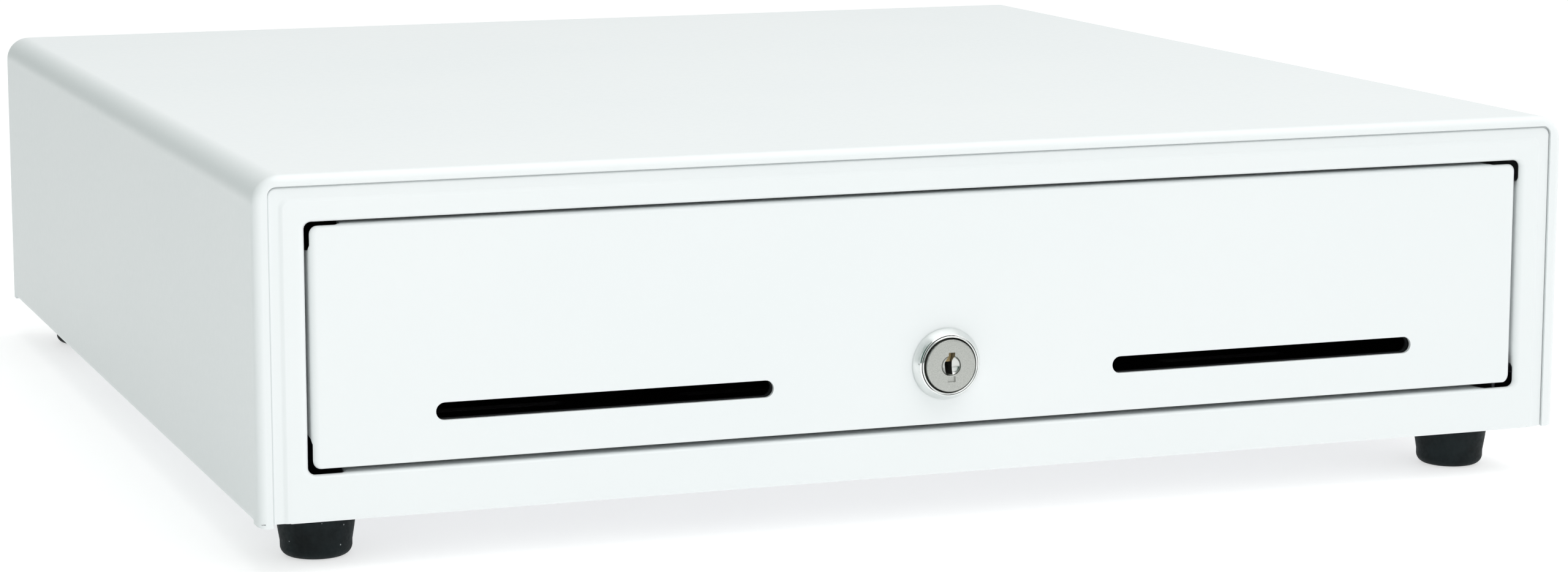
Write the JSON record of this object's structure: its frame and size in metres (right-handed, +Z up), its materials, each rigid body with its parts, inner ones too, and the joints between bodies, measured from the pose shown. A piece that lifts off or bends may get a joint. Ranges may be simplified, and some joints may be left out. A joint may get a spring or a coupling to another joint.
{
  "type": "cash drawer",
  "caption": "White powder-coated steel cash drawer with a removable-style black till, a keyed lock, media slots, ball-bearing slides and a solenoid latch.",
  "frame": {"origin": "centre of the bounding box's bottom face, on the surface that the rubber feet stand on", "axes": "+X to the right seen from the front, +Y from the drawer front to the back of the case, +Z up; the drawer opens along -Y"},
  "size_m": [0.41, 0.4194, 0.112],
  "materials": {
    "white_paint": "white satin powder coat with a very fine orange-peel",
    "black_paint": "black satin powder coat on the inner drawer box",
    "zinc_steel": "zinc-plated mild steel sheet",
    "bright_steel": "bright steel screws, springs, rods and ball cages",
    "black_rubber": "matte black moulded rubber",
    "till_plastic": "black ABS with a fine moulded grain",
    "black_plastic": "black moulded nylon and ABS",
    "chrome": "bright chrome plate",
    "satin_nickel": "satin nickel plate with a fine bead-blasted face",
    "copper_winding": "enamelled copper winding wire",
    "cable_jacket": "black PVC jacket"
  },
  "bodies": {
    "chassis": {"outer_cover": "white_paint", "front_bezel": "white_paint", "base_pan": "zinc_steel", "rear_panel": "white_paint", "side_bracket_left": "zinc_steel", "side_bracket_right": "zinc_steel", "outer_rail_left": "zinc_steel", "outer_rail_right": "zinc_steel", "foot_front_left": "black_rubber", "foot_front_right": "black_rubber", "foot_rear_left": "black_rubber", "foot_rear_right": "black_rubber", "foot_screw_front_left": "bright_steel", "foot_screw_front_right": "bright_steel", "foot_screw_rear_left": "bright_steel", "foot_screw_rear_right": "bright_steel", "cover_screw_front_left": "bright_steel", "cover_screw_front_right": "bright_steel", "cover_screw_rear_left": "bright_steel", "cover_screw_rear_right": "bright_steel", "lock_keeper": "zinc_steel", "eject_spring_guide": "black_plastic", "interface_socket": "black_plastic", "wiring_harness": "cable_jacket", "eject_spring": "bright_steel", "latch_bracket": "zinc_steel", "latch_pivot_pin": "bright_steel", "solenoid_frame": "zinc_steel", "solenoid_coil": "copper_winding", "switch_body": "black_plastic", "latch_spring": "bright_steel"},
    "drawer": {"drawer_box": "black_paint", "drawer_front": "white_paint", "inner_rail_left": "zinc_steel", "inner_rail_right": "zinc_steel", "striker": "zinc_steel", "rod_bushing": "black_plastic", "till": "till_plastic", "coin_tray": "till_plastic", "clip_rod": "bright_steel", "lock_housing": "chrome", "lock_nut": "zinc_steel"},
    "middle_rails": {"middle_rail_left": "zinc_steel", "middle_rail_right": "zinc_steel"},
    "outer_cages": {"outer_ball_cage_left": "bright_steel", "outer_ball_cage_right": "bright_steel"},
    "inner_cages": {"inner_ball_cage_left": "bright_steel", "inner_ball_cage_right": "bright_steel"},
    "latch": {"latch_lever": "zinc_steel"},
    "plunger": {"solenoid_plunger": "bright_steel"},
    "switch": {"switch_lever": "bright_steel"},
    "lock": {"lock_plug": "satin_nickel", "lock_rod": "bright_steel", "lock_cam": "zinc_steel"},
    "clip_1": {"bill_clip_1": "till_plastic"},
    "clip_2": {"bill_clip_2": "till_plastic"},
    "clip_3": {"bill_clip_3": "till_plastic"},
    "clip_4": {"bill_clip_4": "till_plastic"},
    "clip_5": {"bill_clip_5": "till_plastic"}
  },
  "joints": [
    {"name": "drawer_slide", "type": "slide", "parent": "chassis", "child": "drawer", "axis": [0, -1, 0], "range_m": [0, 0.31], "deforming": ["eject_spring"]},
    {"name": "middle_rail_slide", "type": "slide", "parent": "chassis", "child": "middle_rails", "axis": [0, -1, 0], "range_m": [0, 0.155]},
    {"name": "outer_cage_slide", "type": "slide", "parent": "chassis", "child": "outer_cages", "axis": [0, -1, 0], "range_m": [0, 0.0775]},
    {"name": "inner_cage_slide", "type": "slide", "parent": "chassis", "child": "inner_cages", "axis": [0, -1, 0], "range_m": [0, 0.2325]},
    {"name": "latch_pivot", "type": "hinge", "parent": "chassis", "child": "latch", "pos_m": [0, 0.1797, 0.08], "axis": [1, 0, 0], "range_deg": [0, 12], "stiffness_Nm_per_rad": 0.1, "springref_deg": 12, "deforming": ["latch_spring"]},
    {"name": "plunger_slide", "type": "slide", "parent": "chassis", "child": "plunger", "axis": [0, 0, 1], "range_m": [0, 0.0031]},
    {"name": "switch_lever_pivot", "type": "hinge", "parent": "chassis", "child": "switch", "pos_m": [0.011, 0.1792, 0.0675], "axis": [1, 0, 0], "range_deg": [0, 14]},
    {"name": "lock_turn", "type": "hinge", "parent": "drawer", "child": "lock", "pos_m": [0, -0.2036, 0.0474], "axis": [0, 1, 0], "range_deg": [-90, 90]},
    {"name": "bill_clip_1_lift", "type": "hinge", "parent": "drawer", "child": "clip_1", "pos_m": [-0.13856, 0.1267, 0.086], "axis": [-1, 0, 0], "range_deg": [0, 24]},
    {"name": "bill_clip_2_lift", "type": "hinge", "parent": "drawer", "child": "clip_2", "pos_m": [-0.06928, 0.1267, 0.086], "axis": [-1, 0, 0], "range_deg": [0, 24]},
    {"name": "bill_clip_3_lift", "type": "hinge", "parent": "drawer", "child": "clip_3", "pos_m": [0, 0.1267, 0.086], "axis": [-1, 0, 0], "range_deg": [0, 24]},
    {"name": "bill_clip_4_lift", "type": "hinge", "parent": "drawer", "child": "clip_4", "pos_m": [0.06928, 0.1267, 0.086], "axis": [-1, 0, 0], "range_deg": [0, 24]},
    {"name": "bill_clip_5_lift", "type": "hinge", "parent": "drawer", "child": "clip_5", "pos_m": [0.13856, 0.1267, 0.086], "axis": [-1, 0, 0], "range_deg": [0, 24]}
  ],
  "couplings": [
    {"joint": "middle_rail_slide", "follows": "drawer_slide", "ratio": 0.5},
    {"joint": "outer_cage_slide", "follows": "drawer_slide", "ratio": 0.25},
    {"joint": "inner_cage_slide", "follows": "drawer_slide", "ratio": 0.75},
    {"joint": "plunger_slide", "follows": "latch_pivot", "m_per_rad": 0.0145},
    {"joint": "switch_lever_pivot", "follows": "latch_pivot", "ratio": 1.15}
  ]
}
